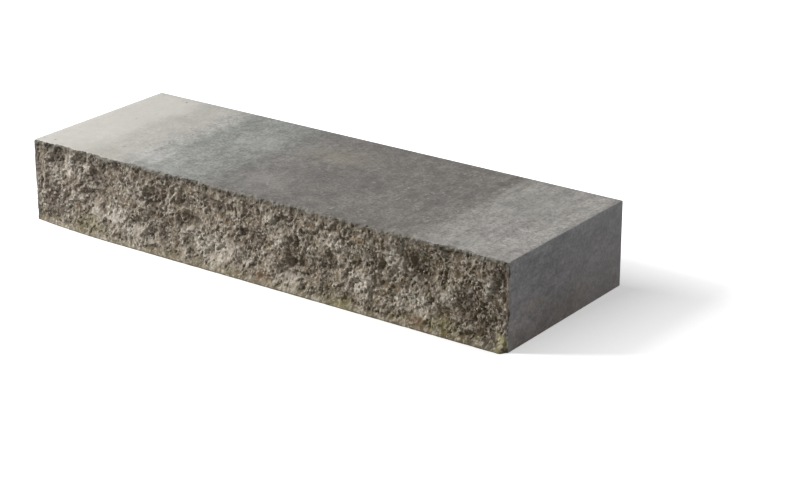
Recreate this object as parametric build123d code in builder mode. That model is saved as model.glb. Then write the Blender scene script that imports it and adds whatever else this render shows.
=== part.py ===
"""Concrete step block: one solid casting with a moulded tread, back and ends and a split rock front.

The block lies as it is laid: X runs along the step, -Y is the front that people see, +Z is up.
The origin is on the bed face, at the middle of the block's outline.
"""

import os
from math import hypot, sqrt
from random import Random

from build123d import *

# Driving dimensions, in millimetres
LENGTH = 1000.0  # along the step
DEPTH = 350.0  # from the back to the boldest point of the split front
HEIGHT = 150.0  # one riser

# Edges that the steel mould leaves
MOULD_RADIUS = 2.0  # top and upright edges, rounded as they leave the mould

# The split front is bowed: its arrises run straight and lie behind its boldest part
ARRIS_SETBACK = 9.0  # of all four arrises
ARRIS_BEVEL = 34.0  # height over which the front slopes back to the bed and to the tread

# Broad hollows of the split front: middle along X, height of the middle, half width, depth
HOLLOWS = (
    (-365.0, 88.0, 78.0, 9.5),
    (-135.0, 74.0, 108.0, 11.0),
    (-8.0, 68.0, 62.0, 8.0),
    (105.0, 60.0, 70.0, 9.5),
    (222.0, 74.0, 52.0, 7.5),
    (326.0, 84.0, 84.0, 11.0),
    (436.0, 54.0, 60.0, 9.0),
)

# Flakes that broke away all over the front, hollows included, on a loose grid
FLAKE_COLUMNS, FLAKE_ROWS = 25, 4
FLAKE_HALF_WIDTHS = (23.0, 41.0)
FLAKE_STEEPNESS = (0.12, 0.20)  # depth of a flake as a share of its half width
FLAKE_STRAY = 0.38  # how far a flake strays from its place, as a share of the grid's step
ARRIS_FLAKES = 0.35  # depth of the flakes along the arrises, as a share of the others'
SPLIT_SEED = 7


def cap_radius(half_width, depth):
    """Radius of the ball whose cap is this wide and this deep."""
    return (half_width**2 + depth**2) / (2 * depth)


def bow_depth(z):
    """How far the bowed front lies behind its boldest part at a height."""
    from_arris = min(z, HEIGHT - z)
    return ARRIS_SETBACK * max(0.0, 1 - max(0.0, from_arris) / ARRIS_BEVEL)


def hollow_depth(x, z):
    """How far the broad hollows set the front back at a place on it."""
    deepest = 0.0
    for middle_x, middle_z, half_width, depth in HOLLOWS:
        away = hypot(x - middle_x, z - middle_z)
        if away < half_width:
            radius = cap_radius(half_width, depth)
            deepest = max(deepest, depth - radius + sqrt(radius**2 - away**2))
    return deepest


def flakes():
    """Place along X and Z, ball radius and deepest point of each flake of the front."""
    chance = Random(SPLIT_SEED)
    step_x, step_z = LENGTH / (FLAKE_COLUMNS - 1), HEIGHT / (FLAKE_ROWS - 1)
    for row in range(FLAKE_ROWS):
        for column in range(FLAKE_COLUMNS):
            x = (column + chance.uniform(-FLAKE_STRAY, FLAKE_STRAY)) * step_x - LENGTH / 2
            z = (row + chance.uniform(-FLAKE_STRAY, FLAKE_STRAY)) * step_z
            half_width = chance.uniform(*FLAKE_HALF_WIDTHS)
            depth = half_width * chance.uniform(*FLAKE_STEEPNESS)
            radius = cap_radius(half_width, depth)
            behind = max(bow_depth(z), hollow_depth(x, z))
            at_end = column in (0, FLAKE_COLUMNS - 1)
            if at_end:
                behind = max(behind, ARRIS_SETBACK)
            if at_end or row in (0, FLAKE_ROWS - 1):
                depth *= ARRIS_FLAKES
            yield x, z, radius, behind + depth


with BuildPart() as step_block:
    with BuildSketch(Plane.YZ) as section:
        with BuildLine():
            Polyline(
                (ARRIS_SETBACK - DEPTH / 2, 0),
                (DEPTH / 2, 0),
                (DEPTH / 2, HEIGHT),
                (ARRIS_SETBACK - DEPTH / 2, HEIGHT),
                (-DEPTH / 2, HEIGHT - ARRIS_BEVEL),
                (-DEPTH / 2, ARRIS_BEVEL),
                close=True,
            )
        make_face()
    extrude(amount=LENGTH / 2, both=True)

    # edges rounded by the mould, at the back and round the tread
    back = step_block.faces().sort_by(Axis.Y)[-1]
    tread = step_block.faces().sort_by(Axis.Z)[-1]
    moulded = tread.edges().filter_by(Axis.Y) + [tread.edges().sort_by(Axis.Y)[-1]]
    fillet(back.edges().filter_by(Axis.Z) + moulded, radius=MOULD_RADIUS)

    # the split front: shallow dishes that meet in crisp ridges
    for x, z, half_width, depth in HOLLOWS:
        radius = cap_radius(half_width, depth)
        with Locations((x, depth - radius - DEPTH / 2, z)):
            Sphere(radius, mode=Mode.SUBTRACT)
    for x, z, radius, deepest in flakes():
        with Locations((x, deepest - radius - DEPTH / 2, z)):
            Sphere(radius, mode=Mode.SUBTRACT)

step_block.part.label = "step_block"

os.makedirs("parts", exist_ok=True)
export_step(step_block.part, "parts/step_block.step")
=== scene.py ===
"""Looks of a concrete step block: a smooth tread, moulded sides and a split rock front.

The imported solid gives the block's size, its place and the broad hollows of its front. The mesh
made here follows that solid and adds what is too fine for it: the broken facets and grains of the
front, the crumbled arrises and the rounded mould edges. It also lets the lower front arris bow out
between its ends. Blender's unit is the metre. Names that end in _mm, and every size inside the node
trees, are in millimetres.
"""

import logging
import math
from dataclasses import dataclass, field
from enum import IntEnum
from typing import ClassVar

import bpy
import numpy as np
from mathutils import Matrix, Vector


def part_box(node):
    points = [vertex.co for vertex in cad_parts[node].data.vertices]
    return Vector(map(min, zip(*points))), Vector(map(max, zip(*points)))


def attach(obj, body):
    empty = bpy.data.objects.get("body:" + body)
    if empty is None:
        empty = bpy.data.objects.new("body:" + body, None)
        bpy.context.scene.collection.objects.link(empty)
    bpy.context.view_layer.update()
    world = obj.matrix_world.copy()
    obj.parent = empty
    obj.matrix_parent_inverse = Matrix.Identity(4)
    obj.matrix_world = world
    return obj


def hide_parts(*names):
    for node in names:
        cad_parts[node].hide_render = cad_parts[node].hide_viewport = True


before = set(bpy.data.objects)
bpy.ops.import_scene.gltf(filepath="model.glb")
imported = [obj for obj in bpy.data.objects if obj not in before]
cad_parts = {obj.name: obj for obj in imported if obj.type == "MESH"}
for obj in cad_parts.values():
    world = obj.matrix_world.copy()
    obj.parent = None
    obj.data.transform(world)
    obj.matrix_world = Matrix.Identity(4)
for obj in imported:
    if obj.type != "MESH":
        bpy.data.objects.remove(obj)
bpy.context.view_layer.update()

MM = 1000.0  # millimetres in a metre
SOLID = "step_block"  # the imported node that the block's mesh follows

log = logging.getLogger("step_block")

Tree = bpy.types.NodeTree
Node = bpy.types.Node
Socket = bpy.types.NodeSocket
Sockets = bpy.types.bpy_prop_collection
Input = float | tuple | Node | Socket | bpy.types.ID


class Zone(IntEnum):
    """Face of the casting that a mesh face belongs to."""

    FRONT = 0
    TREAD = 1
    BED = 2
    RIGHT_END = 3
    LEFT_END = 4
    BACK = 5


Finishes = dict[Zone, bpy.types.Material]


def linear(hex_colour: str) -> tuple[float, float, float, float]:
    """Turns an sRGB hex colour into the linear colour that a shader takes.

    Args:
        hex_colour: Six hex digits after a hash sign.

    Returns:
        Linear red, green, blue and an alpha of 1.
    """
    parts = [int(hex_colour[i : i + 2], 16) / 255 for i in (1, 3, 5)]
    rgb = [p / 12.92 if p <= 0.04045 else ((p + 0.055) / 1.055) ** 2.4 for p in parts]
    return (*rgb, 1.0)


def add_node(tree: Tree, kind: str, inputs: dict[str | int, Input] | None = None, **settings: object) -> Node:
    """Adds a node, sets its settings and fills or links its inputs.

    Args:
        tree: Node tree that takes the node.
        kind: Blender's type name of the node.
        inputs: Value, output socket or node for each input, by its name or number. A node gives its
            first output.
        **settings: The node's own properties.

    Returns:
        The new node.
    """
    node = tree.nodes.new(kind)
    for name, value in settings.items():
        setattr(node, name, value)
    for key, value in (inputs or {}).items():
        source = value.outputs[0] if isinstance(value, Node) else value
        if isinstance(source, Socket):
            tree.links.new(source, node.inputs[key])
        else:
            node.inputs[key].default_value = value
    return node


def calc(tree: Tree, operation: str, *values: Input) -> Node:
    """Adds a math node with these values."""
    return add_node(tree, "ShaderNodeMath", dict(enumerate(values)), operation=operation)


def calc_vector(tree: Tree, operation: str, *values: Input) -> Node:
    """Adds a vector math node with these values."""
    return add_node(tree, "ShaderNodeVectorMath", dict(enumerate(values)), operation=operation)


def scale_vector(tree: Tree, vector: Input, factor: Input) -> Node:
    """Adds a node that scales a vector."""
    return add_node(tree, "ShaderNodeVectorMath", {0: vector, "Scale": factor}, operation="SCALE")


def split(tree: Tree, vector: Input) -> Node:
    """Adds a node that gives a vector's parts."""
    return add_node(tree, "ShaderNodeSeparateXYZ", {0: vector})


def remap(
    tree: Tree,
    value: Input,
    levels: tuple[Input, Input] = (0.0, 1.0),
    results: tuple[Input, Input] = (0.0, 1.0),
    **settings: object,
) -> Node:
    """Adds a node that maps two levels of a value onto two results, and stays between those."""
    return add_node(tree, "ShaderNodeMapRange", dict(enumerate((value, *levels, *results))), **settings)


def add_noise(tree: Tree, place: Input, scale: Input, detail: float = 2.0, **settings: object) -> Node:
    """Adds a noise whose waves are about 1 / scale long, with finer waves by the detail."""
    inputs = {"Vector": place, "Scale": scale, "Detail": detail}
    return add_node(tree, "ShaderNodeTexNoise", inputs, **settings)


def waver(tree: Tree, value: Input, reach: float, noise: Node) -> Node:
    """Adds nodes by which a noise moves a value to and fro, by up to half the reach."""
    return calc(tree, "MULTIPLY_ADD", calc(tree, "SUBTRACT", noise, 0.5), reach, value)


@dataclass
class Casting:
    """Closed mesh of the block: a fine grid over the front, and rings that run from it to the back."""

    columns: int = 84  # cells along the block at the back
    rows: int = 13  # cells up the block at the back
    halvings: int = 3  # times that the front's finer cells are halved on their way back
    top_radius: float = 0.0022  # mould edges round the tread and up the back
    bed_radius: float = 0.0010
    corner_cells: int = 3
    fine_setbacks_mm: tuple[float, ...] = (1.5, 3.0, 4.6, 6.4, 8.6, 11.4)
    halving_setbacks_mm: tuple[float, ...] = (15.0, 20.0, 28.0)
    ring_step: float = 0.008
    low: Vector = field(default_factory=lambda: Vector(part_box(SOLID)[0]))
    high: Vector = field(default_factory=lambda: Vector(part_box(SOLID)[1]))

    def __post_init__(self) -> None:
        """Starts the lists of points, faces and zones."""
        self.points: list[tuple[float, float, float]] = []
        self.faces: list[tuple[int, ...]] = []
        self.zones: list[Zone] = []

    def grid(self, y: float, inset: float, columns: int, rows: int, zone: Zone) -> list[np.ndarray]:
        """Adds the flat grid that closes one end of the rings.

        Args:
            y: Where the grid stands.
            inset: How far its edge lies inside the block's outline.
            columns: Cells along the block.
            rows: Cells up the block.
            zone: Face of the casting that it makes.

        Returns:
            Point numbers of the grid's edge, as the eight runs of a ring.
        """
        xs = np.linspace(self.low.x + inset, self.high.x - inset, columns + 1)
        zs = np.linspace(self.low.z + inset, self.high.z - inset, rows + 1)
        number = np.arange((columns + 1) * (rows + 1)).reshape(rows + 1, columns + 1) + len(self.points)
        self.points += [(x, y, z) for z in zs for x in xs]
        for row in range(rows):
            for column in range(columns):
                near, far = number[row], number[row + 1]
                face = (near[column], near[column + 1], far[column + 1], far[column])
                self.faces.append(face if zone == Zone.FRONT else face[::-1])
                self.zones.append(zone)
        sides = [number[0], number[:, -1], number[-1, ::-1], number[::-1, 0]]
        runs = []
        for side in sides:
            runs += [side, np.full(self.corner_cells + 1, side[-1])]
        return runs

    def ring(self, y: float, inset: float, columns: int, rows: int) -> list[np.ndarray]:
        """Adds a ring of points round the block, with rounded corners.

        Args:
            y: Where the ring stands.
            inset: How far it lies inside the block's outline.
            columns: Cells along the block.
            rows: Cells up the block.

        Returns:
            Point numbers of its eight runs: bed, corner, right end, corner, tread, corner, left end, corner.
        """
        left, right = self.low.x + inset, self.high.x - inset
        bottom, top = self.low.z + inset, self.high.z - inset
        bed, crown = max(self.bed_radius - inset, 0), max(self.top_radius - inset, 0)
        turns = (
            (right - bed, bottom + bed, bed, -90),
            (right - crown, top - crown, crown, 0),
            (left + crown, top - crown, crown, 90),
            (left + bed, bottom + bed, bed, 180),
        )
        arcs = []
        for x, z, radius, start in turns:
            angles = np.radians(np.linspace(start, start + 90, self.corner_cells + 1))
            arcs.append(np.stack([x + radius * np.cos(angles), z + radius * np.sin(angles)], 1))
        runs = []
        for index, cells in enumerate((columns, rows, columns, rows)):
            runs += [np.linspace(arcs[index - 1][-1], arcs[index][0], cells + 1), arcs[index]]
        numbers, first = [], len(self.points)
        for run in runs:
            start = len(self.points)
            self.points += [(x, y, z) for x, z in run[:-1]]
            numbers.append(np.arange(start, start + len(run)))
        numbers[-1][-1] = first
        return numbers

    def bridge(self, near: list[np.ndarray], far: list[np.ndarray]) -> None:
        """Joins two rings with faces, halving the cells where the far ring has half as many.

        Args:
            near: Runs of the ring nearer the front.
            far: Runs of the next ring back.
        """
        ends = (Zone.BED, Zone.RIGHT_END, Zone.RIGHT_END, Zone.RIGHT_END)
        tops = (Zone.TREAD, Zone.LEFT_END, Zone.LEFT_END, Zone.LEFT_END)
        for a, b, zone in zip(near, far, ends + tops, strict=True):
            made = []
            if len(a) == len(b):
                made = [(a[i], b[i], b[i + 1], a[i + 1]) for i in range(len(b) - 1)]
            else:
                for i in range(len(b) - 1):
                    made.append((a[2 * i], b[i], a[2 * i + 1]))
                    made.append((a[2 * i + 1], b[i], b[i + 1]))
                    made.append((a[2 * i + 1], b[i + 1], a[2 * i + 2]))
            for face in made:
                corners = tuple(dict.fromkeys(int(point) for point in face))
                if len(corners) > 2:
                    self.faces.append(corners)
                    self.zones.append(zone)

    def build(self, name: str) -> bpy.types.Object:
        """Makes the block's mesh before its relief.

        Args:
            name: Name of the new object.

        Returns:
            The object, with the attributes setback and zone and the bake's UV map.
        """
        front, back = self.low.y, self.high.y
        scale = 2**self.halvings
        runs = self.grid(front, 0.0, self.columns * scale, self.rows * scale, Zone.FRONT)
        steps = [(s / MM, scale) for s in self.fine_setbacks_mm]
        steps += [(s / MM, scale >> i + 1) for i, s in enumerate(self.halving_setbacks_mm)]
        plain = np.arange(steps[-1][0] + self.ring_step, back - front - self.top_radius, self.ring_step)
        steps += [(s, 1) for s in plain[:-1]]
        for setback, finer in steps:
            step = self.ring(front + setback, 0.0, self.columns * finer, self.rows * finer)
            self.bridge(runs, step)
            runs = step
        for angle in np.radians(np.linspace(0, 90, self.corner_cells + 1)[:-1]):
            inset = self.top_radius * (1 - math.cos(angle))
            y = back - self.top_radius * (1 - math.sin(angle))
            step = self.ring(y, inset, self.columns, self.rows)
            self.bridge(runs, step)
            runs = step
        self.bridge(runs, self.grid(back, self.top_radius, self.columns, self.rows, Zone.BACK))

        mesh = bpy.data.meshes.new(name)
        mesh.from_pydata(self.points, [], self.faces)
        points = np.array(self.points)
        setback = mesh.attributes.new("setback", "FLOAT", "POINT")
        setback.data.foreach_set("value", (points[:, 1] - front) * MM)
        zone = mesh.attributes.new("zone", "INT", "FACE")
        zone.data.foreach_set("value", [int(z) for z in self.zones])
        self.unfold(mesh, points)
        made = bpy.data.objects.new(name, mesh)
        bpy.context.collection.objects.link(made)
        return made

    def unfold(self, mesh: bpy.types.Mesh, points: np.ndarray) -> None:
        """Lays each face of the casting flat in one UV map, with most room for those in view.

        Args:
            mesh: The block's mesh.
            points: Its points.
        """
        share = (points - np.array(self.low)) / np.array(self.high - self.low)
        # axis that runs across the map, axis that runs up it, and the corner, width and height of its room
        across = {
            Zone.FRONT: (0, 2, (0.01, 0.68, 0.98, 0.31)),
            Zone.TREAD: (0, 1, (0.01, 0.33, 0.98, 0.34)),
            Zone.BACK: (0, 2, (0.01, 0.22, 0.98, 0.10)),
            Zone.BED: (0, 1, (0.01, 0.14, 0.98, 0.07)),
            Zone.RIGHT_END: (1, 2, (0.01, 0.01, 0.48, 0.12)),
            Zone.LEFT_END: (1, 2, (0.51, 0.01, 0.48, 0.12)),
        }
        corners = np.empty(len(mesh.loops), dtype=int)
        mesh.loops.foreach_get("vertex_index", corners)
        counts = np.array([len(face) for face in self.faces])
        zones = np.repeat(np.array(self.zones), counts)
        uv = np.zeros((len(corners), 2))
        for zone, (along, up, (u, v, width, height)) in across.items():
            chosen = zones == zone
            uv[chosen, 0] = u + width * share[corners[chosen], along]
            uv[chosen, 1] = v + height * share[corners[chosen], up]
        layer = mesh.uv_layers.new(name="OFBake")
        layer.uv.foreach_set("vector", uv.ravel())


# The relief tree's inputs and the fields that fill them
INPUT_FIELDS = {
    "Reach": "reach_mm",
    "Bias": "bias_mm",
    "Scoop Size": "scoop_size_mm",
    "Scoop Depth": "scoop_mm",
    "Grain Size": "grain_size_mm",
    "Grain Depth": "grain_mm",
    "Chip Size": "chip_size_mm",
    "Chip Depth": "chip_mm",
    "Chip Reach": "chip_reach_mm",
    "Seed": "seed",
}


# Where the split went deep and where it left bold ridges, which the front's finish darkens and pales as dirt
# and wear and as painted shade and light: place along X, height, half width, half height
Spot = tuple[float, float, float, float]
DEEP_SPOTS: tuple[Spot, ...] = (
    (-450, 133, 32, 15),
    (-358, 106, 22, 18),
    (-325, 132, 30, 10),
    (-260, 97, 18, 16),
    (-222, 97, 26, 12),
    (-157, 105, 28, 7),
    (-148, 74, 34, 13),
    (-74, 113, 16, 9),
    (-20, 82, 14, 10),
    (62, 124, 20, 8),
    (88, 86, 10, 26),
    (92, 51, 16, 9),
    (152, 70, 26, 12),
    (238, 88, 26, 16),
    (328, 88, 32, 28),
    (424, 66, 26, 25),
    (460, 20, 24, 17),
    (490, 106, 12, 22),
)
BOLD_SPOTS: tuple[Spot, ...] = (
    (-417, 117, 18, 25),
    (-388, 116, 11, 10),
    (-400, 64, 30, 15),
    (-357, 52, 17, 13),
    (-310, 44, 27, 20),
    (-250, 26, 36, 18),
    (-86, 40, 76, 34),
    (28, 123, 17, 18),
    (43, 92, 25, 13),
    (68, 22, 32, 20),
    (160, 102, 28, 16),
    (282, 110, 14, 31),
    (213, 53, 30, 20),
    (327, 40, 42, 20),
    (384, 68, 20, 16),
    (466, 98, 14, 22),
)


@dataclass
class SplitRelief:
    """Rule of the split front: the solid's hollows, scoops between ridges, grains and crumbled arrises."""

    reach_mm: float = 44.0  # how far behind the front its waves still pull the sides along
    bias_mm: float = 1.2  # least depth of the fine relief behind the solid
    scoop_size_mm: float = 46.0
    scoop_mm: float = 9.0
    scoop_octaves: int = 3
    scoop_twist: float = 0.6  # how far the scoops are bent out of shape
    finer: float = 0.44  # size of each octave's scoops, as a share of the one before
    shallower: float = 0.58
    grain_size_mm: float = 6.0
    grain_mm: float = 2.2
    grain_slender: float = 1.3  # height of a grain as a share of its width
    grain_slope: tuple[float, float] = (0.2, 0.62)  # where a grain's side starts and ends, in grain sizes
    patch_mm: float = 34.0  # size of the patches in which the grains are flatter or bolder
    patch_levels: tuple[float, float] = (0.35, 0.65)  # of their noise
    patch_shares: tuple[float, float] = (0.4, 1.3)  # depth of the grains at those levels, as a share
    deep_mm: float = 4.0  # extra depth of the deep spots
    bold_mm: float = 2.0  # how far the bold spots stand out
    spot_ragged: float = 1.5  # how uneven the spots' edges are
    spot_grain_mm: float = 16.0
    spot_sway_mm: float = 22.0  # how far the spots are drawn out of shape
    spot_levels: tuple[float, float] = (1.3, 0.4)  # where a spot begins and is full, in half sizes
    pit_tones: tuple[float, float] = (-0.6, 0.4)  # grain heights between which a deep spot gets darker, as dirt and painted shade in its pits
    pit_shares: tuple[float, float] = (0.6, 1.0)
    bold_tones: tuple[float, float] = (0.4, -0.5)  # grain heights between which a bold spot gets paler, as wear and painted light on its grains
    bold_shares: tuple[float, float] = (0.25, 1.0)
    solid_setback_mm: float = 9.0  # the solid's own arris behind its boldest point
    solid_bevel_mm: float = 34.0  # height over which the solid slopes back to it
    corner_mm: float = 12.0  # depth of the end arrises, and of the lower one at its ends
    toe_mm: float = 11.5  # how far the lower arris comes out between its ends
    toe_ramps_mm: tuple[float, float] = (190.0, 13.0)  # lengths in which it comes out, left and right
    toe_bend: float = 2.0  # power by which it comes out quickly, then slowly
    even_mm: float = 8.0  # margin in which the relief runs out into an even arris
    calm_mm: float = 10.0  # distance from an arris in which the relief grows to its full depth
    calm_shares: tuple[float, float, float, float] = (0.1, 0.75, 0.15, 0.3)  # bed, tread, left, right
    chip_size_mm: float = 24.0
    chip_mm: float = 2.8
    chip_reach_mm: float = 3.0
    chip_levels: tuple[float, float] = (0.5, 0.72)  # of the noise, where a chip begins and is deepest
    chip_spread: float = 2.4  # how much farther back a chip reaches for each millimetre of its depth
    chip_ease: float = 1.6  # power by which a chip runs out
    crumb_size_mm: float = 4.5
    crumb_mm: float = 0.8
    crumb_reach: tuple[float, float] = (1.6, 0.2)  # share by which crumbs widen a chip, and the least width
    broken_mm: float = 0.45  # loss of height from which broken concrete shows
    squeeze_mm: float = 10.0  # height of front that a chip presses together
    squeeze_shares: tuple[float, float, float, float] = (0.2, -1.0, 0.6, -0.6)  # bed, tread, left, right
    seed: float = 3.7
    seed_step_mm: float = 100.0  # how far one seed more moves the pattern

    def __post_init__(self) -> None:
        """Reads the solid's box, in millimetres."""
        self.low, self.high = (Vector(corner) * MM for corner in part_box(SOLID))

    def tree(self, solid: bpy.types.Object, finishes: Finishes) -> Tree:
        """Builds the Geometry Nodes tree.

        Args:
            solid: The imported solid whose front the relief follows.
            finishes: Material of the front, the tread and the other faces.

        Returns:
            The tree, whose inputs are named for the relief's sizes.
        """
        tree = bpy.data.node_groups.new("split_relief", "GeometryNodeTree")
        tree.interface.new_socket("Casting", in_out="INPUT", socket_type="NodeSocketGeometry")
        for title in INPUT_FIELDS:
            tree.interface.new_socket(title, in_out="INPUT", socket_type="NodeSocketFloat")
        tree.interface.new_socket("Casting", in_out="OUTPUT", socket_type="NodeSocketGeometry")
        given = add_node(tree, "NodeGroupInput").outputs

        place = add_node(tree, "GeometryNodeInputPosition")
        place_mm = scale_vector(tree, place, MM)
        part = split(tree, place_mm).outputs
        moved_x = calc(tree, "MULTIPLY_ADD", given["Seed"], self.seed_step_mm, part["X"])
        plane = add_node(tree, "ShaderNodeCombineXYZ", {0: moved_x, 1: part["Z"]})
        setback = add_node(tree, "GeometryNodeInputNamedAttribute", {"Name": "setback"}, data_type="FLOAT")

        # depth of the front, which fades out behind it so that the sides follow the arris
        tone, relief, vivid = self.relief(tree, plane, given)
        deep = self.spots(tree, part, DEEP_SPOTS)
        bold = self.spots(tree, part, BOLD_SPOTS)
        sunken = calc(tree, "MULTIPLY_ADD", deep, self.deep_mm, relief)
        calmed = calc(tree, "MULTIPLY_ADD", bold, -self.bold_mm, sunken)
        for near in self.near_edges(tree, part, self.calm_mm, self.calm_shares, 1.0):
            calmed = calc(tree, "MULTIPLY", calmed, near)
        fine = calc(tree, "ADD", calmed, given["Bias"])
        rough = calc(tree, "ADD", self.broad(tree, part, solid), fine)
        total = self.even_arrises(tree, part, rough)
        depth = calc(tree, "MAXIMUM", total, 0.0)
        fade = remap(tree, setback, (0.0, given["Reach"]), (1.0, 0.0))
        inward = calc(tree, "MULTIPLY", depth, fade)

        # crumbled arrises, which press the front's margin together
        loss = self.loss(tree, place_mm, plane, setback, given)
        bed, crown, left, right = self.near_edges(tree, part, self.squeeze_mm, self.squeeze_shares, 0.0)
        sunk = calc(tree, "ADD", bed, crown)
        drawn = calc(tree, "ADD", left, right)
        sideways = add_node(tree, "ShaderNodeCombineXYZ", {0: drawn, 2: sunk})
        pressed = scale_vector(tree, sideways, loss)
        backward = add_node(tree, "ShaderNodeCombineXYZ", {1: inward})
        move_mm = calc_vector(tree, "ADD", pressed, backward)
        move = scale_vector(tree, move_mm, 1 / MM)

        # values that the finishes read, kept before the points move; the spots show on their grains as dirt
        # and wear, and as painted shade and light
        in_pits = remap(tree, tone, self.pit_tones, self.pit_shares)
        on_grains = remap(tree, tone, self.bold_tones, self.bold_shares)
        spot_dirt_and_shade = calc(tree, "MULTIPLY", deep, in_pits)
        spot_wear_and_light = calc(tree, "MULTIPLY", bold, on_grains)
        kept = given["Casting"]
        values = {"grain_tone": tone, "fine_depth": relief, "vivid": vivid}
        values |= {"deep": spot_dirt_and_shade, "bold": spot_wear_and_light, "chip": loss}
        for name, value in values.items():
            kept = add_node(
                tree,
                "GeometryNodeStoreNamedAttribute",
                {"Geometry": kept, "Name": name, "Value": value},
                data_type="FLOAT",
                domain="POINT",
            )
        moved = add_node(tree, "GeometryNodeSetPosition", {"Geometry": kept, "Offset": move})
        made = add_node(tree, "GeometryNodeRealizeInstances", {"Geometry": moved})
        add_node(tree, "NodeGroupOutput", {"Casting": self.dress(tree, made, finishes)})
        return tree

    def broad(self, tree: Tree, part: Sockets, solid: bpy.types.Object) -> Node:
        """Adds rays that find how far the solid's front lies behind its boldest point.

        Args:
            tree: The relief's tree.
            part: Place of each point in millimetres, by axis.
            solid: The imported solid.

        Returns:
            Node of the depth in millimetres.
        """
        inside = 0.6  # rays keep this far from the solid's edges
        blurs = 2  # times that the depth is evened with its neighbours
        x = add_node(tree, "ShaderNodeClamp", {0: part["X"], 1: self.low.x + inside, 2: self.high.x - inside})
        z = add_node(tree, "ShaderNodeClamp", {0: part["Z"], 1: self.low.z + inside, 2: self.high.z - inside})
        start_mm = add_node(tree, "ShaderNodeCombineXYZ", {0: x, 1: 2 * self.low.y, 2: z})
        start = scale_vector(tree, start_mm, 1 / MM)
        body = add_node(tree, "GeometryNodeObjectInfo", {"Object": solid})
        ray = add_node(
            tree,
            "GeometryNodeRaycast",
            {
                "Target Geometry": body.outputs["Geometry"],
                "Source Position": start,
                "Ray Direction": (0.0, 1.0, 0.0),
                "Ray Length": 2 * (self.high.y - self.low.y) / MM,
            },
        )
        hit = split(tree, ray.outputs["Hit Position"]).outputs
        behind = calc(tree, "MULTIPLY_ADD", hit["Y"], MM, -self.low.y)
        evened = {0: behind, "Iterations": blurs}
        return add_node(tree, "GeometryNodeBlurAttribute", evened, data_type="FLOAT")

    def even_arrises(self, tree: Tree, part: Sockets, rough: Node) -> Node:
        """Adds the lower arris, which bows out between its ends, and evens it and the end arrises.

        Args:
            tree: The relief's tree.
            part: Place of each point in millimetres, by axis.
            rough: Depth of the front before that.

        Returns:
            Node of the depth in millimetres.
        """
        left_end, right_end = self.low.x, self.high.x
        left_ramp, right_ramp = self.toe_ramps_mm
        rise = remap(tree, part["X"], (left_end, left_end + left_ramp))
        fall = remap(tree, part["X"], (right_end, right_end - right_ramp))
        ramp = calc(tree, "MULTIPLY", rise, fall)
        still_back = calc(tree, "SUBTRACT", 1.0, ramp)
        bent = calc(tree, "POWER", still_back, self.toe_bend)
        out = calc(tree, "SUBTRACT", 1.0, bent)
        toe = calc(tree, "MULTIPLY_ADD", out, -self.toe_mm, self.corner_mm)
        over = calc(tree, "SUBTRACT", toe, self.solid_setback_mm)
        low, _, _, _ = self.near_edges(tree, part, self.solid_bevel_mm, (1.0,) * 4, 0.0)
        depth = calc(tree, "MULTIPLY_ADD", over, low, rough)
        bed, _, left, right = self.near_edges(tree, part, self.even_mm, (1.0,) * 4, 0.0)
        for near, even in ((bed, toe), (left, self.corner_mm), (right, self.corner_mm)):
            depth = add_node(tree, "ShaderNodeMix", {0: near, 2: depth, 3: even}, data_type="FLOAT")
        return depth

    def relief(self, tree: Tree, plane: Node, given: Sockets) -> tuple[Node, Node, Node]:
        """Adds scoops that meet in sharp ridges at several sizes, and round grains and pits over them.

        Args:
            tree: The relief's tree.
            plane: Place on the front in millimetres.
            given: The tree's inputs.

        Returns:
            Nodes of the grains' height, about -1 for the boldest and 1 for the deepest pit, of the whole
            depth, and of how bold the grains are.
        """
        size, deep, relief = given["Scoop Size"], given["Scoop Depth"], None
        for _ in range(self.scoop_octaves):
            scale = calc(tree, "DIVIDE", 1.0, size)
            wave = add_node(
                tree,
                "ShaderNodeTexNoise",
                {"Vector": plane, "Scale": scale, "Detail": 1.0, "Distortion": self.scoop_twist},
                noise_dimensions="2D",
            )
            level = calc(tree, "MULTIPLY_ADD", wave, 2.0, -1.0)
            folded = calc(tree, "ABSOLUTE", level)
            scoop = calc(tree, "MULTIPLY", folded, deep)
            relief = calc(tree, "ADD", scoop, relief) if relief else scoop
            size = calc(tree, "MULTIPLY", size, self.finer)
            deep = calc(tree, "MULTIPLY", deep, self.shallower)

        scale = calc(tree, "DIVIDE", 1.0, given["Grain Size"])
        upright = calc_vector(tree, "MULTIPLY", plane, (self.grain_slender, 1.0, 1.0))
        grain = add_node(
            tree, "ShaderNodeTexVoronoi", {"Vector": upright, "Scale": scale}, voronoi_dimensions="2D"
        ).outputs
        chance = split(tree, grain["Color"]).outputs
        level = calc(tree, "MULTIPLY_ADD", chance["X"], 2.0, -1.0)
        dome = remap(tree, grain["Distance"], self.grain_slope, (1.0, 0.0))
        patch = add_noise(tree, plane, 1 / self.patch_mm, noise_dimensions="2D")
        vivid = remap(tree, patch, self.patch_levels, self.patch_shares)
        bump = calc(tree, "MULTIPLY", level, dome)
        tone = calc(tree, "MULTIPLY", bump, vivid)
        whole = calc(tree, "MULTIPLY_ADD", tone, given["Grain Depth"], relief)
        return tone, whole, vivid

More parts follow.
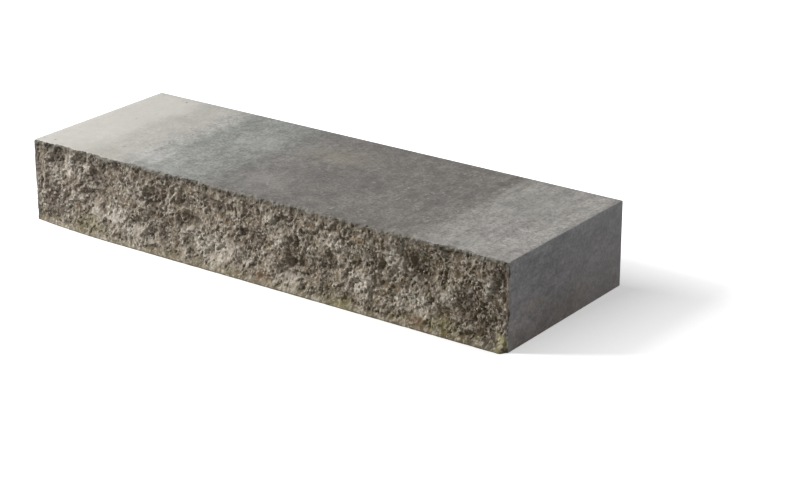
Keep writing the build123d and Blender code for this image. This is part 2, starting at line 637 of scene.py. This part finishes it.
    def spots(self, tree: Tree, part: Sockets, spots: tuple[Spot, ...]) -> Node:
        """Adds a value that is 1 inside the spots and 0 outside, with uneven edges.

        Args:
            tree: The relief's tree.
            part: Place of each point in millimetres, by axis.
            spots: Places and half sizes.

        Returns:
            Node of the value.
        """
        even = add_node(tree, "ShaderNodeCombineXYZ", {0: part["X"], 1: part["Z"]})
        sway = add_noise(tree, even, 0.5 / self.spot_grain_mm)
        about = calc_vector(tree, "SUBTRACT", sway.outputs[1], (0.5,) * 3)
        pull = (2 * self.spot_sway_mm, 2 * self.spot_sway_mm, 0.0)
        place = calc_vector(tree, "MULTIPLY_ADD", about, pull, even)
        nearest = None
        for x, z, half_x, half_z in spots:
            away = calc_vector(tree, "SUBTRACT", place, (x, z, 0.0))
            scaled = calc_vector(tree, "DIVIDE", away, (half_x, half_z, 1.0))
            far = calc_vector(tree, "LENGTH", scaled).outputs["Value"]
            nearest = calc(tree, "MINIMUM", far, nearest) if nearest else far
        noise = add_noise(tree, place, 1 / self.spot_grain_mm, detail=3.0)
        uneven = waver(tree, nearest, self.spot_ragged, noise)
        return remap(tree, uneven, self.spot_levels, interpolation_type="SMOOTHSTEP")

    def near_edges(
        self,
        tree: Tree,
        part: Sockets,
        reach_mm: float,
        shares: tuple[float, float, float, float],
        inner: float,
    ) -> list[Node]:
        """Adds a value along each edge of the front.

        Args:
            tree: The relief's tree.
            part: Place of each point in millimetres, by axis.
            reach_mm: How far from the edge the value reaches.
            shares: Value at the bed, tread, left and right edge.
            inner: Value beyond that reach.

        Returns:
            Nodes of the four values.
        """
        edges = (("Z", self.low.z), ("Z", self.high.z), ("X", self.low.x), ("X", self.high.x))
        near = []
        for (axis, edge), share in zip(edges, shares, strict=True):
            apart = calc(tree, "SUBTRACT", part[axis], edge)
            away = calc(tree, "ABSOLUTE", apart)
            near.append(remap(tree, away, (0.0, reach_mm), (share, inner)))
        return near

    def loss(self, tree: Tree, place_mm: Node, plane: Node, setback: Node, given: Sockets) -> Node:
        """Adds bites and crumbs that break away along the arrises.

        Args:
            tree: The relief's tree.
            place_mm: Place of each point in millimetres.
            plane: Place on the front in millimetres.
            setback: Distance behind the front in millimetres.
            given: The tree's inputs.

        Returns:
            Node of the height that is lost, in millimetres.
        """
        scale = calc(tree, "DIVIDE", 1.0, given["Chip Size"])
        bites = add_noise(tree, plane, scale, detail=3.0, noise_dimensions="2D")
        bitten = remap(tree, bites, self.chip_levels, (0.0, given["Chip Depth"]))
        crumbs = add_noise(tree, place_mm, 1 / self.crumb_size_mm)
        bite = calc(tree, "MULTIPLY_ADD", crumbs, self.crumb_mm, bitten)
        wide = calc(tree, "MULTIPLY_ADD", bite, self.chip_spread, given["Chip Reach"])
        uneven = calc(tree, "MULTIPLY_ADD", crumbs, *self.crumb_reach)
        width = calc(tree, "MULTIPLY", wide, uneven)
        gone = remap(tree, setback, (0.0, width), (1.0, 0.0))
        eased = calc(tree, "POWER", gone, self.chip_ease)
        return calc(tree, "MULTIPLY", bite, eased)

    def dress(self, tree: Tree, made: Node, finishes: Finishes) -> Node:
        """Sets the materials: the moulded faces first, then the tread, then all that is broken.

        Args:
            tree: The relief's tree.
            made: Node of the finished geometry.
            finishes: Material of the front, the tread and the other faces.

        Returns:
            Node of the dressed geometry.
        """
        zone = add_node(tree, "GeometryNodeInputNamedAttribute", {"Name": "zone"}, data_type="INT")
        lost = add_node(tree, "GeometryNodeInputNamedAttribute", {"Name": "chip"}, data_type="FLOAT")
        on_tread, on_front = (
            add_node(tree, "FunctionNodeCompare", {2: zone, 3: int(face)}, data_type="INT", operation="EQUAL")
            for face in (Zone.TREAD, Zone.FRONT)
        )
        least = {0: lost, 1: self.broken_mm}
        chipped = add_node(tree, "FunctionNodeCompare", least, data_type="FLOAT", operation="GREATER_THAN")
        broken = add_node(tree, "FunctionNodeBooleanMath", {0: on_front, 1: chipped}, operation="OR")
        for chosen, face in ((True, Zone.RIGHT_END), (on_tread, Zone.TREAD), (broken, Zone.FRONT)):
            made = add_node(
                tree,
                "GeometryNodeSetMaterial",
                {"Geometry": made, "Selection": chosen, "Material": finishes[face]},
            )
        return made

    def apply(self, piece: bpy.types.Object, solid: bpy.types.Object, finishes: Finishes) -> None:
        """Breaks the casting's front and makes the result a plain mesh.

        Args:
            piece: The casting, which gets the new mesh.
            solid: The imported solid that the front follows.
            finishes: Material of the front, the tread and the other faces.
        """
        tree = self.tree(solid, finishes)
        modifier = piece.modifiers.new("split_relief", "NODES")
        modifier.node_group = tree
        for item in tree.interface.items_tree:
            if item.in_out == "INPUT" and item.name in INPUT_FIELDS:
                modifier[item.identifier] = float(getattr(self, INPUT_FIELDS[item.name]))
        graph = bpy.context.evaluated_depsgraph_get()
        seen = piece.evaluated_get(graph)
        mesh = bpy.data.meshes.new_from_object(seen, preserve_all_data_layers=True, depsgraph=graph)
        piece.modifiers.remove(modifier)
        old, piece.data = piece.data, mesh
        bpy.data.meshes.remove(old)
        mesh.name = piece.name


@dataclass(frozen=True)
class Layer:
    """Another tone, which comes in between two levels of some value."""

    blend: ClassVar[str] = "MIX"
    span_edge_mm: ClassVar[float] = 40.0  # length in which a layer fades out at the ends of its span

    colour: str
    start: float  # level at which the tone begins to show
    end: float  # level at which it is at full strength
    strength: float
    span_mm: tuple[float, float] | None = field(default=None, kw_only=True)  # where along X, or everywhere

    def value(self, tree: Tree, place_mm: Node) -> Node | Socket:
        """Adds the nodes of the value that the levels are about.

        Args:
            tree: The material's node tree.
            place_mm: Place on the block in millimetres.

        Returns:
            The value.
        """
        raise NotImplementedError

    def mask(self, tree: Tree, place_mm: Node) -> Node:
        """Adds the nodes of the layer's mask.

        Args:
            tree: The material's node tree.
            place_mm: Place on the block in millimetres.

        Returns:
            Node of how much of the tone shows.
        """
        levels, results = (self.start, self.end), (0.0, self.strength)
        shown = remap(tree, self.value(tree, place_mm), levels, results, interpolation_type="SMOOTHSTEP")
        if self.span_mm is None:
            return shown
        middle, half = sum(self.span_mm) / 2, (self.span_mm[1] - self.span_mm[0]) / 2
        along = split(tree, place_mm)
        apart = calc(tree, "SUBTRACT", along, middle)
        away = calc(tree, "ABSOLUTE", apart)
        within = remap(tree, away, (half, half - self.span_edge_mm))
        return calc(tree, "MULTIPLY", shown, within)


@dataclass(frozen=True)
class Mottle(Layer):
    """Patches spread by a noise, with their own grain along each axis."""

    grain_mm: tuple[float, float, float]
    detail: float = 3.0

    def value(self, tree: Tree, place_mm: Node) -> Node:
        """Adds the noise, whose level is about 0.3 to 0.7."""
        cell = calc_vector(tree, "DIVIDE", place_mm, self.grain_mm)
        return add_noise(tree, cell, 1.0, self.detail)


@dataclass(frozen=True)
class Cloud(Mottle):
    """Patches that darken every tone under them by the same share."""

    blend: ClassVar[str] = "MULTIPLY"


# Tone of the clouds in moulded concrete, and the levels of noise at which they begin and are full
CLOUD_TONE = ("#2A2723", 0.32, 0.75)


def clouds(*sizes: tuple[float, tuple[float, float, float]]) -> tuple[Cloud, ...]:
    """Gives the clouds that moulded concrete has at several sizes: strength and grain of each."""
    return tuple(Cloud(*CLOUD_TONE, strength, grain_mm) for strength, grain_mm in sizes)


@dataclass(frozen=True)
class Grains(Layer):
    """Single grains of aggregate: those whose chance is below the level have the tone."""

    slope: ClassVar[tuple[float, float]] = (0.4, 0.65)  # where a grain's edge starts and ends, in sizes

    size_mm: float

    def value(self, tree: Tree, place_mm: Node) -> Node:
        """Adds uneven cells with a chance from 0 to 1 each, and 1 more between them."""
        noise = add_noise(tree, place_mm, 1 / self.size_mm)
        sway = calc_vector(tree, "MULTIPLY_ADD", noise.outputs[1], (2 * self.size_mm,) * 3, place_mm)
        cell = add_node(tree, "ShaderNodeTexVoronoi", {"Vector": sway, "Scale": 1 / self.size_mm}).outputs
        chance = split(tree, cell["Color"])
        between = remap(tree, cell["Distance"], self.slope)
        return calc(tree, "ADD", chance, between)


@dataclass(frozen=True)
class Tone(Layer):
    """A tone that follows a value carried by the mesh."""

    attribute: str

    def value(self, tree: Tree, place_mm: Node) -> Socket:
        """Adds the reading of the mesh's value."""
        return add_node(tree, "ShaderNodeAttribute", attribute_name=self.attribute).outputs["Fac"]


@dataclass(frozen=True)
class Fade(Layer):
    """A tone that comes in along one axis, with a ragged edge."""

    axis: int
    ragged_mm: float
    grain_mm: float

    def value(self, tree: Tree, place_mm: Node) -> Node:
        """Adds the place along the axis, moved to and fro by a noise."""
        along = split(tree, place_mm).outputs[self.axis]
        return waver(tree, along, 2 * self.ragged_mm, add_noise(tree, place_mm, 1 / self.grain_mm))


@dataclass(frozen=True)
class Stain(Layer):
    """One stain: its middle is level 0 and its edge level 1, made ragged by a noise."""

    middle_mm: tuple[float, float, float]
    half_mm: tuple[float, float, float]
    ragged: float = 1.6
    grain_mm: float = 12.0

    def value(self, tree: Tree, place_mm: Node) -> Node:
        """Adds the distance from the stain's middle."""
        away = calc_vector(tree, "SUBTRACT", place_mm, self.middle_mm)
        scaled = calc_vector(tree, "DIVIDE", away, self.half_mm)
        far = calc_vector(tree, "LENGTH", scaled).outputs["Value"]
        return waver(tree, far, self.ragged, add_noise(tree, place_mm, 1 / self.grain_mm, detail=3.0))


@dataclass(frozen=True)
class Concrete:
    """Concrete whose tone runs in bands along one axis, with layers of other tones over it."""

    name: str
    axis: int  # 0 along the block, 2 up it
    bands: tuple[tuple[float, str], ...]  # place along the axis in millimetres, and colour
    layers: tuple[Layer, ...]
    wobble_mm: float  # how far the bands' edges wander
    wobble_grain_mm: tuple[float, float, float]
    roughness: float
    grit_mm: float  # width of the grit in the bump
    grit_height_mm: float
    grit_levels: ClassVar[tuple[float, float]] = (0.3, 0.7)  # of the noise, over which the sheen changes
    sheen: ClassVar[tuple[float, float]] = (-0.08, 0.06)  # change of the roughness at those levels

    def band_colour(self, tree: Tree, place_mm: Node) -> Node:
        """Adds the bands.

        Args:
            tree: The material's node tree.
            place_mm: Place on the block in millimetres.

        Returns:
            Node of the bands' colour.
        """
        cell = calc_vector(tree, "DIVIDE", place_mm, self.wobble_grain_mm)
        along = split(tree, place_mm).outputs[self.axis]
        wander = waver(tree, along, 2 * self.wobble_mm, add_noise(tree, cell, 1.0, detail=4.0))
        first, last = self.bands[0][0], self.bands[-1][0]
        share = remap(tree, wander, (first, last))
        ramp = add_node(tree, "ShaderNodeValToRGB", {0: share})
        stops = ramp.color_ramp.elements
        while len(stops) < len(self.bands):
            stops.new(0.5)
        for stop, (at, colour) in zip(stops, self.bands, strict=True):
            stop.position = (at - first) / (last - first)
            stop.color = linear(colour)
        return ramp

    def material(self) -> bpy.types.Material:
        """Makes the material.

        Returns:
            A material that reads object coordinates and the mesh's own values.
        """
        made = bpy.data.materials.new(self.name)
        made.use_nodes = True
        tree = made.node_tree
        shader = tree.nodes["Principled BSDF"]
        place = add_node(tree, "ShaderNodeTexCoord").outputs["Object"]
        place_mm = scale_vector(tree, place, MM)
        colour = self.band_colour(tree, place_mm).outputs["Color"]
        for layer in self.layers:
            mix = add_node(
                tree,
                "ShaderNodeMix",
                {0: layer.mask(tree, place_mm), 6: colour, 7: linear(layer.colour)},
                data_type="RGBA",
                blend_type=layer.blend,
            )
            colour = mix.outputs[2]
        tree.links.new(colour, shader.inputs["Base Color"])

        # grit that is finer than the mesh, which also breaks up the sheen
        grit = add_noise(tree, place_mm, 1 / self.grit_mm)
        height = self.grit_height_mm / MM
        bump = add_node(tree, "ShaderNodeBump", {"Height": grit, "Strength": 1.0, "Distance": height})
        dull = tuple(self.roughness + change for change in self.sheen)
        sheen = remap(tree, grit, self.grit_levels, dull)
        tree.links.new(bump.outputs[0], shader.inputs["Normal"])
        tree.links.new(sheen.outputs[0], shader.inputs["Roughness"])
        return made


# Tread: face mix as it left the steel mould, matte and close. Two coloured mixes ran into each other, so
# it is pale at the left, then cool grey, brown grey and pale again, with faint streaks near the right
TREAD = Concrete(
    name="moulded_tread_concrete",
    axis=0,
    bands=(
        (-500, "#EDEAE3"),
        (-350, "#E4E1D9"),
        (-290, "#DEDCD5"),
        (-272, "#D6D6D0"),
        (-258, "#C7C9C3"),
        (-190, "#C1C3BD"),
        (-125, "#B3B4AF"),
        (-100, "#A7A49F"),
        (20, "#9A9590"),
        (200, "#9F9A94"),
        (290, "#A6A19B"),
        (310, "#ADA7A0"),
        (350, "#D3CFC9"),
        (500, "#DEDAD4"),
    ),
    layers=(
        *clouds(
            (0.16, (60, 80, 60)),
            (0.20, (26, 32, 26)),
            (0.31, (12, 14, 12)),
            (0.38, (5, 5.5, 5)),
        ),
        Cloud("#2A2723", 0.35, 0.70, 0.27, (2.2, 2.2, 2.2)),
        Cloud("#2A2723", 0.42, 0.72, 0.20, (8, 34, 8), span_mm=(190, 560)),
        Mottle("#D6D3CD", 0.60, 0.76, 0.40, (7, 12, 7), span_mm=(130, 400)),
        Mottle("#D6D3CD", 0.64, 0.78, 0.34, (7, 10, 7), span_mm=(-340, 180)),
        Fade("#C9C6BE", -285, -320, 0.50, 0, 14, 30),
        Fade("#DBD8D0", -350, -420, 0.60, 0, 40, 70),
        Stain("#AFA99F", 1.2, -0.2, 0.34, (-355, -140, 150), (120, 60, 60), 2, 30),
        Stain("#AFABA2", 1.2, -0.2, 0.34, (-335, 80, 150), (70, 60, 60), 2, 30),
        Stain("#6B6D69", 1.2, -0.2, 0.44, (-232, 120, 150), (40, 44, 60), 2.4),
        Stain("#6B6D69", 1.2, -0.2, 0.36, (-250, -5, 150), (34, 36, 60), 2.4),
        Stain("#BFC0BA", 1.2, -0.2, 0.30, (-165, 55, 150), (50, 60, 60), 2.4),
        Stain("#DCD9D7", 1.2, -0.2, 0.46, (-262, -110, 150), (52, 52, 60), 2.4),
        Stain("#B3AA94", 1.2, -0.2, 0.28, (0, 78, 150), (85, 55, 60), 2.4),
        Stain("#B5B0AC", 1.2, -0.2, 0.30, (-35, -88, 150), (60, 50, 60), 2.4),
        Stain("#3F3B37", 1.1, 0.1, 0.40, (300, 118, 150), (13, 85, 60), 1.2),
        Stain("#C9C5BF", 1.1, 0.1, 0.36, (326, 105, 150), (9, 60, 60), 1.2),
        Stain("#9FA198", 1.2, -0.2, 0.36, (395, 80, 150), (70, 75, 60), 2.4),
        Grains("#6B6862", 0.014, 0.004, 0.55, 6),
        Fade("#57554D", -156, -168, 0.42, 1, 9, 14, span_mm=(-330, 540)),
    ),
    wobble_mm=14,
    wobble_grain_mm=(30, 60, 30),
    roughness=0.85,
    grit_mm=1.6,
    grit_height_mm=0.25,
)

# Ends, back and bed: the same casting off the steel sides of the mould, matte and cloudy, greyer above and
# browner below, and pale at the left end like the tread there
SIDES = Concrete(
    name="moulded_side_concrete",
    axis=2,
    bands=(
        (0, "#C1B9B4"),
        (55, "#C2BDBC"),
        (95, "#C3C0C2"),
        (150, "#C8C8C9"),
    ),
    layers=(
        Fade("#D2CEC5", -250, -330, 0.80, 0, 40, 60),
        *clouds(
            (0.20, (60, 70, 26)),
            (0.22, (26, 30, 14)),
            (0.26, (11, 13, 8)),
            (0.34, (5, 6, 4.5)),
        ),
        Fade("#E2DEDF", -100, 170, 0.22, 1, 20, 60),
        Stain("#C4B5A1", 1, 0.2, 0.35, (500, -85, 58), (60, 48, 10)),
        Stain("#8C7F6D", 1, 0.2, 0.30, (500, 20, 22), (60, 70, 26)),
    ),
    wobble_mm=30,
    wobble_grain_mm=(60, 60, 40),
    roughness=0.85,
    grit_mm=1.6,
    grit_height_mm=0.25,
)

# Split front: mortar and aggregate broken open by the splitting blade, which gives rough grains, pale on
# the ridges and dark in the pits partly by wear and dirt and partly as painted light and shade. It is
# greyer at the left, browner at the right and olive at the foot, with painted shade along its arrises
SPLIT = Concrete(
    name="split_concrete",
    axis=0,
    bands=(
        (-500, "#766D63"),
        (-250, "#746A5D"),
        (0, "#716657"),
        (250, "#675C4B"),
        (380, "#554A36"),
        (500, "#4F4331"),
    ),
    layers=(
        Mottle("#B4ABA0", 0.48, 0.68, 0.10, (40, 40, 28)),
        Mottle("#46392A", 0.50, 0.68, 0.10, (32, 32, 24)),
        Mottle("#6E5A3E", 0.50, 0.68, 0.24, (36, 36, 26)),
        Mottle("#6F6B4A", 0.50, 0.68, 0.20, (27, 27, 22)),
        Mottle("#C9BFAF", 0.52, 0.66, 0.30, (11, 11, 14), 2),
        Tone("#6A5740", 0.95, 0.55, 0.30, "vivid"),
        Mottle("#3E3122", 0.53, 0.66, 0.30, (9, 9, 12), 2),
        Mottle("#E3DACB", 0.54, 0.64, 0.24, (6, 6, 6), 2),
        Mottle("#362A1A", 0.55, 0.64, 0.26, (5.5, 5.5, 5.5), 2),
        Grains("#F4EDE0", 0.20, 0.10, 0.32, 4.2),
        Mottle("#F2EADC", 0.57, 0.66, 0.26, (6.5, 6.5, 7.5), 2),
        Grains("#2F2415", 0.18, 0.10, 0.38, 3.6),
        # dark in the deep spots and pale on the bold ones: dirt and wear, and painted shade and light of
        # facets that turn from or towards the key lamp more than the relief does
        Tone("#3B2F20", 0, 1, 0.58, "deep"),
        Tone("#E6DED0", 0, 1, 0.46, "bold"),
        # pale on the proud grains and ridges, dark in the pits and hollows: wear and dirt, and painted
        # highlight and painted shade
        Tone("#E0D9CE", -0.3, -0.9, 0.26, "grain_tone"),
        Tone("#362A1A", 0.3, 0.9, 0.26, "grain_tone"),
        Tone("#DAD3C8", 2.4, 0.6, 0.28, "fine_depth"),
        Tone("#3B2F20", 4.5, 9, 0.36, "fine_depth"),
        Fade("#4A3F31", 112, 148, 0.30, 2, 14, 30),
        Fade("#7E7748", 26, 4, 0.12, 2, 30, 40),
        Stain("#736D45", 1, 0.3, 0.36, (-375, -170, 22), (52, 40, 22), 2.4),
        Stain("#7E7748", 1, 0.3, 0.40, (180, -170, 9), (32, 40, 14), 2.2),
        Stain("#7E7748", 1, 0.3, 0.40, (375, -170, 18), (42, 40, 16), 2.2),
        Stain("#B9B283", 1, 0.3, 0.50, (489, -170, 16), (14, 40, 18)),
        Stain("#735435", 1, 0.3, 0.52, (10, -170, 14), (28, 40, 9), 2),
        Stain("#60452A", 1, 0.3, 0.58, (335, -170, 14), (28, 40, 9), 2),
        Stain("#8A6B45", 1, 0.3, 0.40, (213, -170, 122), (18, 40, 8)),
        # painted shade: a dark line just under the top arris
        Fade("#2C2A22", 137, 147, 0.58, 2, 8, 26),
        Fade("#A09C93", 143, 149, 0.50, 2, 7, 8),
        # painted shade: dark lines along the lower arris, where the front meets the floor, and along both end
        # arrises
        Fade("#2C2822", 3, 0, 0.60, 2, 2, 9),
        Fade("#35312A", -488, -496, 0.55, 0, 5, 11),
        Fade("#2C2822", 489, 497, 0.45, 0, 6, 11),
    ),
    wobble_mm=25,
    wobble_grain_mm=(60, 60, 40),
    roughness=0.92,
    grit_mm=1.3,
    grit_height_mm=0.4,
)


@dataclass
class StepBlock:
    """The whole block: one casting with a split front."""

    name: str = "split_step_block"
    crease: float = 38.0  # degrees between faces from which an edge shows as crisp
    casting: Casting = field(default_factory=Casting)
    relief: SplitRelief = field(default_factory=SplitRelief)

    def build(self) -> bpy.types.Object:
        """Makes the block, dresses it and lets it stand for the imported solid.

        Returns:
            The finished piece.
        """
        finishes = {
            Zone.FRONT: SPLIT.material(),
            Zone.TREAD: TREAD.material(),
            Zone.RIGHT_END: SIDES.material(),
        }
        piece = self.casting.build(self.name)
        self.relief.apply(piece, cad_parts[SOLID], finishes)
        piece.data.shade_smooth()
        piece.data.set_sharp_from_angle(angle=math.radians(self.crease))
        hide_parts(SOLID)
        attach(piece, "root")
        return piece


@dataclass
class Studio:
    """Floor, light and camera."""

    azimuth: float = 35.806  # degrees, as the photograph looks at the block
    elevation: float = 21.365
    distance: float = 3.764
    target: tuple[float, float, float] = (0.1520, 0.035, 0.0409)
    lens_mm: float = 100.5
    sight: float = 100.0  # how far the camera sees
    key_from: tuple[float, float, float] = (-2.95, -2.25, 2.25)
    key_size: tuple[float, float] = (0.7, 2.2)  # width and height of the soft box
    key_power: float = 208.0
    sky: float = 0.26
    floor_size: float = 40.0
    floor_bounce: float = 0.45  # share of light that the floor gives back to the block
    floor_shade: float = 0.8
    painted_shadow_glow: float = 0.41  # glow beside the block, dimmed there to paint a darker shadow over the one that the key lamp casts
    painted_shadow_reach: tuple[float, float, float] = (0.40, 0.20, 1.0)  # distances at which the painted shadow has faded into plain white glow
    painted_shadow_lean: float = 0.16  # how much farther along X the painted shadow reaches for each metre back
    painted_shadow_rise: float = 0.85  # power by which the glow grows out of the painted shadow, quickly beside the block

    def camera(self) -> None:
        """Makes the camera at the photograph's viewing angle."""
        turn, rise = math.radians(self.azimuth), math.radians(self.elevation)
        back = Vector((math.sin(turn) * math.cos(rise), -math.cos(turn) * math.cos(rise), math.sin(rise)))
        data = bpy.data.cameras.new("camera")
        data.lens = self.lens_mm
        data.clip_end = self.sight
        camera = bpy.data.objects.new("camera", data)
        camera.location = Vector(self.target) + back * self.distance
        camera.rotation_euler = back.to_track_quat("Z", "Y").to_euler()
        bpy.context.collection.objects.link(camera)
        bpy.context.scene.camera = camera

    def lamps(self) -> None:
        """Makes the soft key lamp and the pale surroundings."""
        data = bpy.data.lights.new("key", "AREA")
        data.shape = "RECTANGLE"
        data.size, data.size_y = self.key_size
        data.energy = self.key_power
        lamp = bpy.data.objects.new("key", data)
        lamp.location = self.key_from
        lamp.rotation_euler = Vector(self.key_from).to_track_quat("Z", "Y").to_euler()
        bpy.context.collection.objects.link(lamp)

        world = bpy.data.worlds.new("studio")
        world.use_nodes = True
        tree = world.node_tree
        tree.nodes.clear()
        level = remap(tree, self.seen(tree), results=(self.sky, 1.0))
        glow = add_node(tree, "ShaderNodeBackground", {"Color": (1, 1, 1, 1), "Strength": level.outputs[0]})
        add_node(tree, "ShaderNodeOutputWorld", {"Surface": glow.outputs[0]})
        bpy.context.scene.world = world

    def seen(self, tree: Tree) -> Node:
        """Adds a value that is 1 for rays that show the stage, straight or in a reflection.

        Args:
            tree: Node tree of the world or of a material.

        Returns:
            Node of the value.
        """
        path = add_node(tree, "ShaderNodeLightPath").outputs
        shown = calc(tree, "ADD", path["Is Camera Ray"], path["Is Glossy Ray"])
        return add_node(tree, "ShaderNodeMath", {0: shown, 1: path["Is Transmission Ray"]}, use_clamp=True)

    def floor(self) -> None:
        """Makes the pale floor, white to the camera where no shadow falls, with a painted shadow where its
        glow is dimmed beside the block.
        """
        half = self.floor_size / 2
        mesh = bpy.data.meshes.new("floor")
        mesh.from_pydata(
            [(-half, -half, 0), (half, -half, 0), (half, half, 0), (-half, half, 0)], [], [(0, 1, 2, 3)]
        )
        floor = bpy.data.objects.new("floor", mesh)
        bpy.context.collection.objects.link(floor)
        material = bpy.data.materials.new("studio_paper")
        material.use_nodes = True
        tree = material.node_tree
        tree.nodes.clear()
        seen = self.seen(tree)
        shade = remap(tree, seen, results=(self.floor_bounce, self.floor_shade))
        place = add_node(tree, "ShaderNodeTexCoord").outputs["Object"]
        # painted shadow: the glow is dimmed near the block's footprint and leans back along X, so the shadow
        # looks darker at the block and longer
        both_sides = calc_vector(tree, "ABSOLUTE", place)
        back = split(tree, place).outputs["Y"]
        lean = calc(tree, "MULTIPLY", back, self.painted_shadow_lean)
        along = add_node(tree, "ShaderNodeCombineXYZ", {0: lean})
        leaned = calc_vector(tree, "SUBTRACT", both_sides, along)
        beside = calc_vector(tree, "SUBTRACT", leaned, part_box(SOLID)[1])
        outside = calc_vector(tree, "MAXIMUM", beside, (0.0, 0.0, 0.0))
        scaled = calc_vector(tree, "DIVIDE", outside, self.painted_shadow_reach)
        away = calc_vector(tree, "LENGTH", scaled).outputs["Value"]
        grown = calc(tree, "POWER", away, self.painted_shadow_rise)
        glow_with_painted_shadow = remap(tree, grown, results=(self.painted_shadow_glow, 1.0))
        light = calc(tree, "MULTIPLY", seen, glow_with_painted_shadow)
        paper = add_node(tree, "ShaderNodeBsdfDiffuse", {"Color": shade.outputs[0]})
        glow = add_node(tree, "ShaderNodeEmission", {"Strength": light.outputs[0]})
        both = add_node(tree, "ShaderNodeAddShader", {0: paper.outputs[0], 1: glow.outputs[0]})
        add_node(tree, "ShaderNodeOutputMaterial", {"Surface": both.outputs[0]})
        mesh.materials.append(material)

    def build(self) -> None:
        """Sets the stage."""
        bpy.context.scene.view_settings.view_transform = "Standard"
        self.floor()
        self.lamps()
        self.camera()


def main() -> None:
    """Builds the block and its studio."""
    logging.basicConfig(level=logging.INFO)
    block = StepBlock().build()
    log.info("%s: %d faces", block.name, len(block.data.polygons))
    Studio().build()


if __name__ == "__main__":
    main()
